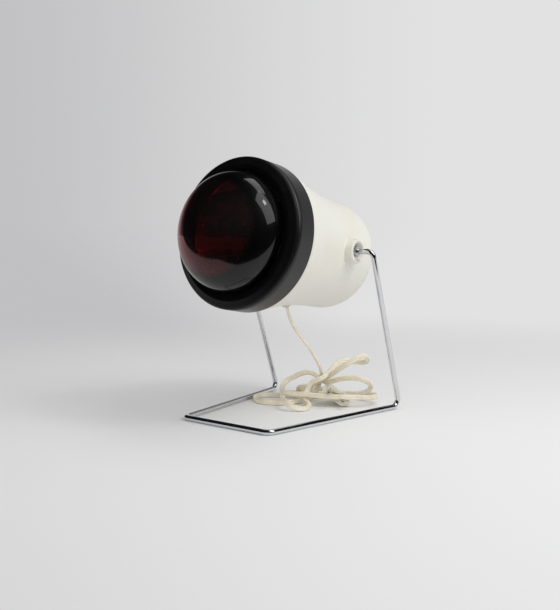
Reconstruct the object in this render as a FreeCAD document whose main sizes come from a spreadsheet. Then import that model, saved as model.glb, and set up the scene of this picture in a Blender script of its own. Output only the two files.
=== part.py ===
"""Table-top infrared heat lamp with a red reflector bulb, tilting in a bent-wire stand.

Frame: millimetres, +Z up, the lamp faces -Y, +X is on the right of someone who looks at its
face. The origin is on the floor, under the middle of the lamp's box without its cord.

The pieces of the head are drawn with the lamp lying on its back, so that +Z is the lamp's own
axis, counted from the pivot, and -Y is its underside. Then they are tilted into place together.
"""
import FreeCAD
import Part
import math
import os
import Sketcher

from FreeCAD import Placement, Rotation, Vector

os.makedirs("parts", exist_ok=True)
doc = FreeCAD.newDocument("HeatLamp")
sheet = doc.addObject("Spreadsheet::Sheet", "Sizes")
nodes = []


# ---------------------------------------------------------------- sizes and their formulas

class Size:
    """A number together with the spreadsheet formula that gives it."""

    def __init__(self, value, formula):
        self.value = float(value)
        self.formula = formula

    def __add__(self, other):
        return joined(self, "+", other, self.value + plain(other))

    def __radd__(self, other):
        return joined(other, "+", self, plain(other) + self.value)

    def __sub__(self, other):
        return joined(self, "-", other, self.value - plain(other))

    def __rsub__(self, other):
        return joined(other, "-", self, plain(other) - self.value)

    def __mul__(self, other):
        return joined(self, "*", other, self.value * plain(other))

    def __rmul__(self, other):
        return joined(other, "*", self, plain(other) * self.value)

    def __truediv__(self, other):
        return joined(self, "/", other, self.value / plain(other))

    def __neg__(self):
        return joined(0, "-", self, -self.value)


def plain(number):
    """The bare value of a Size or of a number."""
    return number.value if isinstance(number, Size) else float(number)


def text(number):
    """The formula of a Size or of a number."""
    return number.formula if isinstance(number, Size) else "%.6f" % number


def joined(left, sign, right, value):
    """The Size that two numbers make with a sign between them."""
    return Size(value, "(%s %s %s)" % (text(left), sign, text(right)))


def root(number):
    """The square root of a Size."""
    return Size(math.sqrt(plain(number)), "sqrt(%s)" % text(number))


def size(alias, value):
    """A driving dimension, kept in the spreadsheet under its alias."""
    row = len(sheet.getUsedCells()) // 2 + 1
    sheet.set("A%d" % row, alias)
    sheet.set("B%d" % row, str(value))
    sheet.setAlias("B%d" % row, alias)
    return Size(value, "Sizes.%s" % alias)


def bind(thing, **properties):
    """Ties properties of an object to formulas."""
    for name, number in properties.items():
        thing.setExpression(name, text(number))


# ---------------------------------------------------------------- driving dimensions, mm

# Stand: one chromed steel rod, bent into a base that is open at the back and two uprights.
rod_diameter = size("rod_diameter", 6.0)
base_front_half = size("base_front_half", 57.2)
base_rear_half = size("base_rear_half", 88.6)
base_front_reach = size("base_front_reach", 135.8)
base_rear_reach = size("base_rear_reach", 64.8)
upright_top_half = size("upright_top_half", 90.7)
pivot_height = size("pivot_height", 180.0)
floor_bend = size("floor_bend", 8.0)
pivot_bend = size("pivot_bend", 6.5)
head_tilt = size("head_tilt", 9.5)

# Pivot on each side: a boss with a sunk nut, a bush, and washers and a nut inside.
boss_radius = size("boss_radius", 13.0)
boss_face = size("boss_face", 72.5)
boss_inner_face = size("boss_inner_face", 57.5)
boss_draft = size("boss_draft", 0.7)
boss_edge = size("boss_edge", 1.2)
recess_radius = size("recess_radius", 9.6)
recess_depth = size("recess_depth", 7.0)
bush_wall = size("bush_wall", 1.9)
pivot_clearance = size("pivot_clearance", 0.05)
washer_radius = size("washer_radius", 6.2)
washer_thickness = size("washer_thickness", 1.2)
nut_flats = size("nut_flats", 10.0)
nut_height = size("nut_height", 5.0)
spring_rise = size("spring_rise", 0.5)
rod_end_past_nut = size("rod_end_past_nut", 1.5)

# Housing: a moulded bell with a domed back.
wall = size("wall", 2.8)
waist_radius = size("waist_radius", 61.8)
waist_length = size("waist_length", 8.0)
back_seat = size("back_seat", 36.0)
back_reach = size("back_reach", 42.8)
back_shoulder = size("back_shoulder", 32.0)
flare_radius = size("flare_radius", 414.0)
flare_end = size("flare_end", 79.0)
mouth_radius = size("mouth_radius", 76.4)
spigot_length = size("spigot_length", 18.8)
slot_count = size("slot_count", 8)
slot_width = size("slot_width", 3.2)
slot_inner = size("slot_inner", 9.0)
slot_outer = size("slot_outer", 23.0)

# Front ring: a black moulding that is pushed over the mouth and snaps into a groove.
ring_rear_radius = size("ring_rear_radius", 79.7)
ring_front_radius = size("ring_front_radius", 79.5)
ring_rear = size("ring_rear", 94.2)
ring_depth = size("ring_depth", 27.4)
ring_wall = size("ring_wall", 4.8)
ring_skin = size("ring_skin", 2.6)
ring_seat = size("ring_seat", 3.5)
ring_crest_radius = size("ring_crest_radius", 69.5)
ring_crest_rise = size("ring_crest_rise", 4.0)
ring_face_swell = size("ring_face_swell", 40.0)
ring_step = size("ring_step", 0.8)
ring_dish = size("ring_dish", 0.7)
ring_fit = size("ring_fit", 0.3)
bead_height = size("bead_height", 0.8)
bead_place = size("bead_place", 8.8)
bulb_gap = size("bulb_gap", 1.3)
ring_edge_depth = size("ring_edge_depth", 2.0)
ring_edge_inset = size("ring_edge_inset", 1.1)
ring_edge_round = size("ring_edge_round", 2.2)
ring_crest_round = size("ring_crest_round", 0.9)
ring_lip_round = size("ring_lip_round", 0.6)
shield_thickness = size("shield_thickness", 0.5)
shield_rear = size("shield_rear", 40.0)
shield_air = size("shield_air", 3.4)

# Bulb: a 125 mm reflector bulb with a 27 mm screw cap.
bulb_radius = size("bulb_radius", 62.5)
bulb_widest = size("bulb_widest", 126.8)
bulb_dome = size("bulb_dome", 45.2)
bulb_front_shoulder = size("bulb_front_shoulder", 35.5)
bulb_rear_shoulder = size("bulb_rear_shoulder", 15.0)
bulb_glass_wall = size("bulb_glass_wall", 1.3)
bulb_body_end = size("bulb_body_end", 52.0)
bulb_body_swell = size("bulb_body_swell", 140.0)
bulb_neck_radius = size("bulb_neck_radius", 19.0)
bulb_neck_end = size("bulb_neck_end", 32.0)
bulb_neck_fillet = size("bulb_neck_fillet", 26.0)
cap_radius = size("cap_radius", 13.1)
cap_wall = size("cap_wall", 0.4)
cap_front = size("cap_front", 20.0)
cap_rear = size("cap_rear", -3.0)
contact_tip = size("contact_tip", -8.0)
contact_radius = size("contact_radius", 4.8)
coat_thickness = size("coat_thickness", 0.4)
stem_radius = size("stem_radius", 3.2)
stem_flare = size("stem_flare", 16.0)
stem_below_filament = size("stem_below_filament", 24.0)
seal_depth = size("seal_depth", 9.0)
filament_place = size("filament_place", 92.0)
filament_sweep = size("filament_sweep", 300.0)
filament_ring = size("filament_ring", 13.0)
filament_wire = size("filament_wire", 1.0)
support_wire = size("support_wire", 0.8)
support_rise = size("support_rise", 8.0)
support_end = size("support_end", 6.0)
support_bend = size("support_bend", 2.5)
support_foot = size("support_foot", 1.8)

# Lampholder and its strap.
holder_radius = size("holder_radius", 23.0)
holder_front = size("holder_front", 19.0)
holder_floor = size("holder_floor", -12.0)
holder_rear = size("holder_rear", -24.5)
sleeve_wall = size("sleeve_wall", 0.6)
sleeve_clearance = size("sleeve_clearance", 0.35)
strap_thickness = size("strap_thickness", 1.5)
strap_width = size("strap_width", 14.0)
strap_half = size("strap_half", 38.0)
pillar_inner = size("pillar_inner", 29.0)
pillar_outer = size("pillar_outer", 37.0)
pillar_angle = size("pillar_angle", 24.0)
strap_screw_radius = size("strap_screw_radius", 1.5)
strap_screw_depth = size("strap_screw_depth", 9.0)
nipple_radius = size("nipple_radius", 5.0)
nipple_bore = size("nipple_bore", 3.4)
nipple_grip = size("nipple_grip", 8.0)
nipple_nut_height = size("nipple_nut_height", 4.0)
nipple_nut_flats = size("nipple_nut_flats", 14.0)
nipple_tail = size("nipple_tail", 2.0)
terminal_place = size("terminal_place", 17.0)
terminal_side = size("terminal_side", 6.5)
terminal_height = size("terminal_height", 8.0)
holder_nose = size("holder_nose", 5.0)
holder_nose_inset = size("holder_nose_inset", 2.5)
holder_nose_round = size("holder_nose_round", 6.0)
tongue_width = size("tongue_width", 6.0)
tongue_thickness = size("tongue_thickness", 0.6)
tongue_flat_half = size("tongue_flat_half", 2.5)
tongue_slant = size("tongue_slant", 2.5)
terminal_screw_radius = size("terminal_screw_radius", 2.4)
terminal_screw_height = size("terminal_screw_height", 1.6)
screw_slot_width = size("screw_slot_width", 0.7)
screw_slot_depth = size("screw_slot_depth", 0.6)
strap_screw_head = size("strap_screw_head", 1.8)
fit = size("fit", 0.05)

# Flex, gland and plug.
flex_width = size("flex_width", 6.0)
exit_place = size("exit_place", 22.0)
exit_lean = size("exit_lean", 28.0)
gland_radius = size("gland_radius", 4.8)
gland_flange = size("gland_flange", 6.6)
gland_flange_height = size("gland_flange_height", 1.4)
gland_proud = size("gland_proud", 0.8)
tail_length = size("tail_length", 17.0)
collar_radius = size("collar_radius", 7.0)
collar_height = size("collar_height", 5.0)
collar_screw_radius = size("collar_screw_radius", 2.0)
collar_screw_proud = size("collar_screw_proud", 1.6)
lead_diameter = size("lead_diameter", 2.2)
lead_pitch = size("lead_pitch", 2.8)
lead_bend = size("lead_bend", 4.0)
plug_width = size("plug_width", 35.3)
plug_thickness = size("plug_thickness", 13.7)
plug_end_width = size("plug_end_width", 5.2)
plug_straight = size("plug_straight", 16.0)
plug_length = size("plug_length", 36.0)
plug_neck = size("plug_neck", 9.0)
pin_pitch = size("pin_pitch", 18.6)
pin_radius = size("pin_radius", 2.0)
pin_length = size("pin_length", 19.0)
pin_seat = size("pin_seat", 9.0)
pin_core = size("pin_core", 1.5)
pin_tip = size("pin_tip", 1.2)

zero = Size(0, "0")
doc.recompute()


# ---------------------------------------------------------------- ways of making a piece

def node(piece):
    """Notes a sub-part under the name that its file gets."""
    nodes.append(piece)
    return piece


def origin_plane(body, role):
    """The named plane of a body's own origin."""
    return [item for item in body.Origin.OriginFeatures if item.Role == role][0]


def new_sketch(body, name, role, offset=None):
    """An empty sketch on one of the body's own planes, moved by a placement if one is given."""
    sketch = body.newObject("Sketcher::SketchObject", name)
    sketch.AttachmentSupport = [(origin_plane(body, role), "")]
    sketch.MapMode = "FlatFace"
    if offset is not None:
        sketch.AttachmentOffset = offset
    return sketch


def arc_edge(start, end, radius):
    """Arc between two points; a positive radius bulges to the left of the way from start to end."""
    chord = end - start
    middle = (start + end) * 0.5
    left = Vector(-chord.y, chord.x, 0).normalize()
    reach = math.sqrt(radius * radius - chord.Length ** 2 / 4)
    centre = middle - left * math.copysign(reach, radius)
    circle = Part.Circle(centre, Vector(0, 0, 1), abs(radius))
    ends = [start, end] if radius < 0 else [end, start]
    angles = [math.atan2(point.y - centre.y, point.x - centre.x) for point in ends]
    if angles[1] < angles[0]:
        angles[1] += 2 * math.pi
    return Part.ArcOfCircle(circle, angles[0], angles[1])


def dimension(sketch, kind, *where):
    """Adds a driving constraint whose last entry is a Size."""
    number = where[-1]
    values = list(where[:-1]) + [plain(number)]
    index = sketch.addConstraint(Sketcher.Constraint(kind, *values))
    if isinstance(number, Size):
        sketch.setExpression("Constraints[%d]" % index, number.formula)


def outline(body, name, role, corners, arcs=None, offset=None):
    """Closed sketch through the corners; arcs gives the radius of an edge by its first corner."""
    arcs = arcs or {}
    sketch = new_sketch(body, name, role, offset)
    points = [Vector(plain(x), plain(y), 0) for x, y in corners]
    count = len(points)
    heads = []
    for index in range(count):
        start = points[index]
        end = points[(index + 1) % count]
        if index in arcs:
            sketch.addGeometry(arc_edge(start, end, plain(arcs[index])), False)
        else:
            sketch.addGeometry(Part.LineSegment(start, end), False)
        heads.append(2 if index in arcs and plain(arcs[index]) > 0 else 1)
    for index in range(count):
        after = (index + 1) % count
        tail = 3 - heads[index]
        sketch.addConstraint(Sketcher.Constraint("Coincident", index, tail, after, heads[after]))
    for index, (x, y) in enumerate(corners):
        dimension(sketch, "DistanceX", -1, 1, index, heads[index], x)
        dimension(sketch, "DistanceY", -1, 1, index, heads[index], y)
        if index in arcs:
            radius = arcs[index]
            dimension(sketch, "Radius", index, radius if plain(radius) > 0 else -radius)
    return sketch


def circles(body, name, role, rounds, offset=None):
    """Sketch of circles, each given as x, y and radius."""
    sketch = new_sketch(body, name, role, offset)
    for index, (x, y, radius) in enumerate(rounds):
        centre = Vector(plain(x), plain(y), 0)
        sketch.addGeometry(Part.Circle(centre, Vector(0, 0, 1), plain(radius)), False)
        dimension(sketch, "DistanceX", -1, 1, index, 3, x)
        dimension(sketch, "DistanceY", -1, 1, index, 3, y)
        dimension(sketch, "Radius", index, radius)
    return sketch


def new_body(name):
    """An empty PartDesign body that becomes a node."""
    return node(doc.addObject("PartDesign::Body", name))


def revolve(body, kind, name, sketch, axis="V_Axis", angle=360):
    """Revolution or Groove of a sketch round one of its own axes."""
    turn = body.newObject("PartDesign::" + kind, name)
    turn.Profile = (sketch, [""])
    turn.ReferenceAxis = (sketch, [axis])
    turn.Midplane = True
    bind(turn, Angle=angle)
    return turn


def turned(name, corners, arcs=None, role="XZ_Plane", axis="V_Axis"):
    """Body made by turning one closed outline."""
    body = new_body(name)
    sketch = outline(body, name + "_outline", role, corners, arcs)
    revolve(body, "Revolution", name + "_turn", sketch, axis)
    return body


def extrude(body, kind, name, sketch, length, backwards=False):
    """Pad or Pocket of a given length."""
    feature = body.newObject("PartDesign::" + kind, name)
    feature.Profile = (sketch, [""])
    feature.Reversed = backwards
    bind(feature, Length=length)
    return feature


def level(height):
    """Offset that lifts a sketch along its own normal."""
    return Placement(Vector(0, 0, plain(height)), Rotation())


def primitive(kind, name, place, **properties):
    """Part primitive with its sizes tied to the sheet."""
    thing = doc.addObject("Part::" + kind, name)
    bind(thing, **properties)
    thing.Placement = place
    return thing


def cut(name, base, tool):
    """Boolean difference of two objects."""
    result = doc.addObject("Part::Cut", name)
    result.Base = base
    result.Tool = tool
    return result


def group(name, members):
    """Separate solids of the same kind, kept in one node."""
    result = doc.addObject("Part::Compound", name)
    result.Links = members
    return node(result)


def ring_of(name, place, outer, bore, height, flats=False):
    """Washer, or a hexagon nut if flats is set, with its bore; it stands on its placement."""
    if flats:
        blank = primitive("Prism", name + "_blank", place, Circumradius=outer, Height=height)
        blank.Polygon = 6
    else:
        blank = primitive("Cylinder", name + "_blank", place, Radius=outer, Height=height)
    drill = primitive("Cylinder", name + "_drill", place, Radius=bore, Height=height)
    return cut(name, blank, drill)


def rod(points, bends, diameter):
    """Round rod along straight runs joined by tangent arcs, as one solid."""
    radius = plain(diameter) / 2
    pieces = []
    here = points[0]
    way = (points[1] - points[0]).normalize()
    for corner, after, bend in zip(points[1:-1], points[2:], bends):
        onward = (after - corner).normalize()
        turn = way.getAngle(onward)
        cutback = bend * math.tan(turn / 2)
        start = corner - way * cutback
        pieces.append(Part.makeCylinder(radius, (start - here).Length, here, way))
        normal = way.cross(onward).normalize()
        centre = start + normal.cross(way) * bend
        disc = Part.Face(Part.Wire(Part.makeCircle(radius, start, way)))
        pieces.append(disc.revolve(centre, normal, math.degrees(turn)))
        here = corner + onward * cutback
        way = onward
    pieces.append(Part.makeCylinder(radius, (points[-1] - here).Length, here, way))
    solid = pieces[0].multiFuse(pieces[1:]).removeSplitter()
    return solid.Solids[0]


def shaped(name, shape, place=None):
    """Node whose shape comes straight from Part."""
    thing = doc.addObject("Part::Feature", name)
    thing.Shape = shape
    if place is not None:
        thing.Placement = place
    return node(thing)


def domed_end(seat, reach, radius, shoulder, inset, facing):
    """Corners and radii of a domed end, at a depth under its skin.

    A shoulder arc starts at the seat and runs tangent into a crown arc that closes on the axis.
    """
    crown = (reach * reach + (radius - shoulder) * (radius - shoulder)
             - shoulder * shoulder) / (2 * (reach - shoulder))
    share = (crown - inset) / (crown - shoulder)
    middle = seat + facing * (reach - crown)
    tip = (zero, seat + facing * (reach - inset))
    meeting = ((radius - shoulder) * share, middle + facing * (crown - reach) * share)
    edge = (radius - inset, seat)
    return tip, meeting, edge, crown - inset, shoulder - inset


# ---------------------------------------------------------------- places of head and pivot

tilt = math.radians(plain(head_tilt))
dome_crown = domed_end(bulb_widest, bulb_dome, bulb_radius, bulb_front_shoulder, 0, 1)[3]
back_crown = domed_end(-back_seat, back_reach, waist_radius, back_shoulder, 0, -1)[3]
bulb_tip = bulb_widest + bulb_dome
reach_forward = plain(bulb_tip - dome_crown) * math.cos(tilt) + plain(dome_crown)
reach_back = plain(back_seat + back_reach - back_crown) * math.cos(tilt) + plain(back_crown)
pivot_line = (reach_forward - reach_back) / 2

pivot_point = Vector(0, pivot_line, plain(pivot_height))
pivot_place = Placement(pivot_point, Rotation())
head_place = Placement(pivot_point, Rotation(Vector(1, 0, 0), 90 - plain(head_tilt)))


def head(piece):
    """Tilts a piece that was drawn on its back into the head's place."""
    piece.Placement = head_place
    return piece


# ---------------------------------------------------------------- stand

rod_radius = rod_diameter / 2
nut_circle = nut_flats / math.sqrt(3)
bush_radius = rod_radius + bush_wall
recess_floor = boss_face - recess_depth

outer_washer_at = recess_floor + pivot_clearance
outer_nut_at = outer_washer_at + washer_thickness
inner_washer_at = boss_inner_face - pivot_clearance - washer_thickness
spring_at = inner_washer_at - washer_thickness - spring_rise
inner_nut_at = spring_at - nut_height
rod_end_at = inner_nut_at - rod_end_past_nut

floor_line = plain(rod_radius)
front_y = pivot_line - plain(base_front_reach)
rear_y = pivot_line + plain(base_rear_reach)
half_path = [
    Vector(plain(rod_end_at), pivot_line, plain(pivot_height)),
    Vector(plain(upright_top_half), pivot_line, plain(pivot_height)),
    Vector(plain(base_rear_half), rear_y, floor_line),
    Vector(plain(base_front_half), front_y, floor_line),
]
other_half = [Vector(-point.x, point.y, point.z) for point in reversed(half_path)]
stand_bends = [plain(pivot_bend), plain(floor_bend), plain(floor_bend)]
shaped("stand_wire", rod(half_path + other_half, stand_bends + stand_bends[::-1], rod_diameter))


# ---------------------------------------------------------------- pivot washers and nuts

def along_pivot(side, distance):
    """Placement on the pivot line whose Z points outwards on the given side."""
    turn = Rotation(Vector(0, 1, 0), 90 * side)
    return Placement(pivot_point + Vector(side * plain(distance), 0, 0), turn)


def both_sides(name, make):
    """One node with a piece on each side of the head."""
    return group(name, [make("%s_%s" % (name, word), side) for word, side in SIDES])


SIDES = [("right", 1), ("left", -1)]
rod_hole = rod_radius + 0.01


def outer_washer(name, side):
    place = along_pivot(side, outer_washer_at)
    return ring_of(name, place, washer_radius + 1, rod_hole, washer_thickness)


def outer_nut(name, side):
    return ring_of(name, along_pivot(side, outer_nut_at), nut_circle, rod_hole, nut_height, True)


def inner_washer(name, side):
    place = along_pivot(side, inner_washer_at)
    return ring_of(name, place, washer_radius + 1, rod_hole, washer_thickness)


def spring_washer(name, side):
    """Dished spring washer: a flat cone with a hole, standing on the nut."""
    place = along_pivot(side, spring_at)
    dish = primitive("Cone", name + "_dish", place, Radius1=washer_radius, Radius2=washer_radius - 1.6,
                     Height=washer_thickness + spring_rise)
    hollow = primitive("Cone", name + "_hollow", place, Radius1=washer_radius - 1.4, Radius2=rod_hole,
                       Height=spring_rise + 0.3)
    drill = primitive("Cylinder", name + "_drill", place, Radius=rod_hole,
                      Height=washer_thickness + spring_rise)
    return cut(name, cut(name + "_cup", dish, hollow), drill)


def inner_nut(name, side):
    return ring_of(name, along_pivot(side, inner_nut_at), nut_circle, rod_hole, nut_height, True)


both_sides("pivot_outer_washers", outer_washer)
both_sides("pivot_outer_nuts", outer_nut)
both_sides("pivot_inner_washers", inner_washer)
both_sides("pivot_spring_washers", spring_washer)
both_sides("pivot_inner_nuts", inner_nut)


def bush(name, side):
    """Fibre bush that lines the boss, flush with both its faces."""
    place = along_pivot(side, boss_inner_face)
    return ring_of(name, place, bush_radius, rod_radius + pivot_clearance,
                   recess_floor - boss_inner_face)


both_sides("pivot_bushes", bush)


# ---------------------------------------------------------------- housing shell

def flare_at(place, inset):
    """Radius of the flare at a place along the axis, at a depth under its skin."""
    bend = flare_radius + inset
    run = place + (back_seat - waist_length)
    return waist_radius - inset + bend - root(bend * bend - run * run)


shell = new_body("housing_shell")
tip, meeting, edge, crown, shoulder = domed_end(-back_seat, back_reach, waist_radius,
                                                back_shoulder, 0, -1)
tip_in, meeting_in, edge_in, crown_in, shoulder_in = domed_end(-back_seat, back_reach, waist_radius,
                                                               back_shoulder, wall, -1)
waist_front = waist_length - back_seat
spigot_radius = ring_rear_radius - ring_wall - ring_fit
spigot_end = ring_rear + spigot_length
mouth_end = ring_rear - 0.4
groove_at = ring_rear + bead_place
shell_corners = [
    tip,
    meeting,
    edge,
    (waist_radius, waist_front),
    (flare_at(flare_end, 0), flare_end),
    (mouth_radius, mouth_end - 8),
    (mouth_radius, mouth_end),
    (spigot_radius, mouth_end),
    (spigot_radius, groove_at - bead_height - 0.9),
    (spigot_radius - bead_height, groove_at - 0.9),
    (spigot_radius - bead_height, groove_at + 0.9),
    (spigot_radius, groove_at + bead_height + 0.9),
    (spigot_radius, spigot_end),
    (spigot_radius - wall, spigot_end),
    (spigot_radius - wall, mouth_end - 6),
    (flare_at(flare_end, wall), flare_end),
    (waist_radius - wall, waist_front),
    edge_in,
    meeting_in,
    tip_in,
]
shell_arcs = {0: -crown, 1: -shoulder, 3: flare_radius, 15: -(flare_radius + wall),
              17: shoulder_in, 18: crown_in}
shell_sketch = outline(shell, "shell_outline", "XZ_Plane", shell_corners, shell_arcs)
revolve(shell, "Revolution", "shell_turn", shell_sketch)

for word, side in SIDES:
    boss_corners = [
        (side * boss_inner_face, zero),
        (side * boss_inner_face, boss_radius),
        (side * (waist_radius - wall / 2), boss_radius + boss_draft),
        (side * (boss_face - boss_edge), boss_radius),
        (side * boss_face, boss_radius - boss_edge),
        (side * boss_face, zero),
    ]
    boss = outline(shell, "boss_outline_" + word, "XY_Plane", boss_corners,
                   {3: side * boss_edge})
    revolve(shell, "Revolution", "boss_" + word, boss, "H_Axis")
    past = boss_face + 1
    bore_corners = [
        (side * (boss_inner_face - 1), zero),
        (side * (boss_inner_face - 1), bush_radius + 0.01),
        (side * recess_floor, bush_radius + 0.01),
        (side * recess_floor, recess_radius),
        (side * past, recess_radius),
        (side * past, zero),
    ]
    bore = outline(shell, "bore_outline_" + word, "XY_Plane", bore_corners)
    revolve(shell, "Groove", "bore_" + word, bore, "H_Axis")

strap_rear = holder_rear - strap_thickness
crown_middle = -(back_seat + back_reach - back_crown)


def mid_wall(radius):
    """Place along the axis of the middle of the domed back's wall, at a radius."""
    bend = back_crown - wall / 2
    return crown_middle - root(bend * bend - radius * radius)


for word, side in SIDES:
    pillar_corners = [
        (side * pillar_inner, strap_rear),
        (side * pillar_outer, strap_rear),
        (side * pillar_outer, mid_wall(pillar_outer)),
        (side * pillar_inner, mid_wall(pillar_inner)),
    ]
    pillar = outline(shell, "pillar_outline_" + word, "XZ_Plane", pillar_corners)
    revolve(shell, "Revolution", "pillar_" + word, pillar, "V_Axis", pillar_angle)
pillar_middle = (pillar_inner + pillar_outer) / 2
screw_holes = circles(shell, "pillar_holes", "XY_Plane",
                      [(pillar_middle, zero, strap_screw_radius + fit),
                       (-pillar_middle, zero, strap_screw_radius + fit)], level(strap_rear))
extrude(shell, "Pocket", "pillar_drilling", screw_holes, strap_screw_depth + 1)

slot_corners = [
    (slot_inner, -slot_width / 2),
    (slot_outer, -slot_width / 2),
    (slot_outer, slot_width / 2),
    (slot_inner, slot_width / 2),
]
slot_start = level(-(back_seat + back_reach) - 2)
slot_sketch = outline(shell, "slot_outline", "XY_Plane", slot_corners,
                      {1: -(slot_width / 2 + 0.01), 3: -(slot_width / 2 + 0.01)}, slot_start)
slot = extrude(shell, "Pocket", "slot", slot_sketch, back_crown / 4, True)
slots = shell.newObject("PartDesign::PolarPattern", "slots")
slots.Originals = [slot]
slots.Axis = (slot_sketch, ["N_Axis"])
slots.Angle = 360
bind(slots, Occurrences=slot_count)
shell.Tip = slots

exit_wall = flare_at(exit_place, 0)
exit_turn = Placement(Vector(0, plain(exit_place), plain(exit_wall)),
                      Rotation(Vector(1, 0, 0), -plain(exit_lean)))
exit_sketch = circles(shell, "exit_outline", "XZ_Plane",
                      [(zero, zero, gland_radius + fit)], exit_turn)
exit_hole = extrude(shell, "Pocket", "exit_hole", exit_sketch, wall * 6)
exit_hole.Midplane = True
head(shell)


# ---------------------------------------------------------------- front ring and heat shield

ring_front = ring_rear + ring_depth
ring_crest = ring_front + ring_crest_rise
ring_lip = ring_crest - ring_step - ring_dish
ring_inside = ring_rear_radius - ring_wall
ring_opening = bulb_radius + bulb_gap
ledge = spigot_end + shield_thickness
ring_corners = [
    (ring_rear_radius, ring_rear),
    (ring_front_radius, ring_front - ring_edge_depth),
    (ring_front_radius - ring_edge_inset, ring_front),
    (ring_crest_radius, ring_crest),
    (ring_crest_radius - ring_step, ring_crest - ring_step),
    (ring_opening + ring_lip_round, ring_lip),
    (ring_opening, ring_lip - ring_lip_round),
    (ring_opening, ring_lip - ring_skin),
    (ring_crest_radius - ring_step, ring_crest - ring_step - ring_skin),
    (spigot_radius - wall, ledge + ring_seat),
    (spigot_radius - wall, ledge),
    (ring_inside, ledge),
    (ring_inside, groove_at + 1.5),
    (ring_inside - bead_height, groove_at + 0.6),
    (ring_inside - bead_height, groove_at - 0.6),
    (ring_inside, groove_at - 1.5),
    (ring_inside, ring_rear),
]
ring = turned("front_ring", ring_corners, {1: ring_edge_round, 2: ring_face_swell,
                                           3: ring_crest_round, 5: ring_lip_round})
head(ring)

shield_inner = spigot_radius - wall - shield_air
shield_slope = flare_at(shield_rear, wall) - shield_air
shield_corners = [
    (spigot_radius, spigot_end),
    (spigot_radius, ledge),
    (shield_inner, ledge),
    (shield_slope, shield_rear),
    (shield_slope + shield_thickness, shield_rear),
    (shield_inner + shield_thickness, spigot_end),
]
head(turned("heat_shield", shield_corners))


# ---------------------------------------------------------------- bulb

def bulb_skin(inset):
    """Corners and radii of the bulb's glass from neck to tip, at a depth under its skin."""
    tip, meeting, edge, crown, shoulder = domed_end(bulb_widest, bulb_dome, bulb_radius,
                                                    bulb_front_shoulder, inset, 1)
    back = bulb_rear_shoulder
    lean = 0.8
    waist = (bulb_radius - back + lean * (back - inset), bulb_widest - 0.6 * (back - inset))
    corners = [
        (cap_radius - cap_wall - inset, cap_front - seal_depth),
        (cap_radius - cap_wall - inset, cap_front + 1.5),
        (bulb_neck_radius - inset, bulb_neck_end),
        (bulb_neck_radius - inset, bulb_body_end - 6),
        (bulb_neck_radius + 4.5 - 0.8 * inset, bulb_body_end + 6 + 0.5 * inset),
        waist,
        edge,
        meeting,
        tip,
    ]
    arcs = {3: bulb_neck_fillet + inset, 4: inset - bulb_body_swell,
            5: inset - bulb_rear_shoulder, 6: -shoulder, 7: -crown}
    return corners, arcs


outer_skin, outer_arcs = bulb_skin(0)
inner_skin, inner_arcs = bulb_skin(bulb_glass_wall)
glass_corners = outer_skin + inner_skin[::-1]
last = len(glass_corners) - 2
glass_arcs = dict(outer_arcs)
for index, radius in inner_arcs.items():
    glass_arcs[last - index] = -radius
head(turned("bulb_glass", glass_corners, glass_arcs))

coat_outside, coat_arcs = bulb_skin(bulb_glass_wall)
coat_inside, coat_inner_arcs = bulb_skin(bulb_glass_wall + coat_thickness)
coat_corners = [coat_outside[4], coat_outside[5], coat_inside[5], coat_inside[4]]
head(turned("bulb_reflector", coat_corners, {0: coat_arcs[4], 2: -coat_inner_arcs[4]}))

cap_corners = [
    (cap_radius, cap_front),
    (cap_radius - cap_wall, cap_front),
    (cap_radius - cap_wall, cap_rear),
    (cap_radius - 2.4 - cap_wall, cap_rear - 1.2),
    (cap_radius - 2.4, cap_rear - 1.6),
    (cap_radius, cap_rear),
]
head(turned("bulb_cap", cap_corners))

insulator_corners = [
    (zero, cap_rear + 1),
    (cap_radius - cap_wall, cap_rear + 1),
    (cap_radius - cap_wall, cap_rear),
    (cap_radius - 2.4 - cap_wall, cap_rear - 1.2),
    (contact_radius, contact_tip + 1),
    (zero, contact_tip + 1),
]
head(turned("bulb_cap_insulator", insulator_corners))

contact_corners = [
    (zero, contact_tip + 1),
    (contact_radius, contact_tip + 1),
    (contact_radius - 1.2, contact_tip + 0.3),
    (zero, contact_tip),
]
head(turned("bulb_centre_contact", contact_corners))

stem_top = filament_place - stem_below_filament
stem_corners = [
    (zero, stem_top),
    (stem_radius, stem_top),
    (stem_radius, cap_front + stem_flare),
    (cap_radius - cap_wall - bulb_glass_wall, cap_front - seal_depth / 1.5),
    (cap_radius - cap_wall - bulb_glass_wall, cap_front - seal_depth),
    (zero, cap_front - seal_depth),
]
head(turned("bulb_stem", stem_corners))

support_count = 4
filament_low = filament_place - filament_wire / 2 - support_wire / 2


def support_path(turn):
    """Wire that rises from the stem and spreads to carry the filament."""
    way = Vector(math.cos(turn), math.sin(turn), 0)
    foot = way * plain(support_foot)
    carried = way * plain(filament_ring) + Vector(0, 0, plain(filament_low))
    return [foot + Vector(0, 0, plain(stem_top)),
            foot + Vector(0, 0, plain(stem_top + support_rise)),
            carried - Vector(0, 0, plain(support_end)),
            carried + Vector(0, 0, plain(support_wire / 2))]


supports = [rod(support_path(math.tau * (step + 0.5) / support_count), [plain(support_bend)] * 2, support_wire)
            for step in range(support_count)]
head(shaped("bulb_support_wires", Part.makeCompound(supports)))

filament = primitive("Torus", "bulb_filament", Placement(), Radius1=filament_ring,
                     Radius2=filament_wire / 2, Angle3=filament_sweep)
node(filament)
lift = Placement(Vector(0, 0, plain(filament_place)), Rotation(Vector(0, 0, 1), 15))
filament.Placement = head_place.multiply(lift)


# ---------------------------------------------------------------- lampholder

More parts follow.
